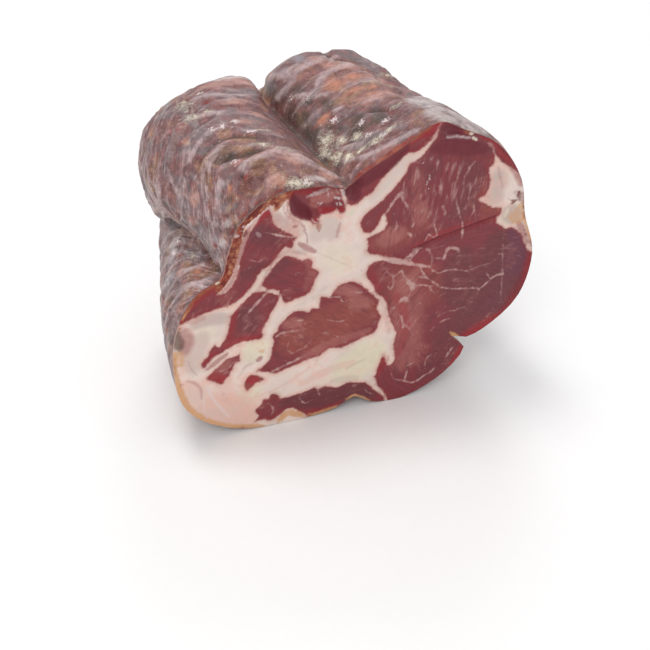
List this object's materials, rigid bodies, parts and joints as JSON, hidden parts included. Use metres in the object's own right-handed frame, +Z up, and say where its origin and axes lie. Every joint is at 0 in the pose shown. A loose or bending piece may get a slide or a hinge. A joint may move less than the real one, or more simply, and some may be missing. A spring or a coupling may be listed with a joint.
{
  "type": "cut coppa, a cured pork neck",
  "caption": "End piece of a cured pork neck in its dried casing, sliced flat across one end to show marbled meat, rounded at the other, standing on its base.",
  "frame": {"origin": "centre of the bounding box in X and Y, on the surface that the piece stands on", "axes": "+Z up, +Y from the cut face back along the body to the rounded end, +X along the base of the cut face, to the right of a viewer who faces it"},
  "size_m": [0.1132, 0.0736, 0.0967],
  "materials": {
    "cured_meat": "dried casing, mottled purple brown and half glossy; on the cut, dark red lean with cream fat"
  },
  "bodies": {
    "root": {"coppa": "cured_meat"}
  },
  "joints": []
}
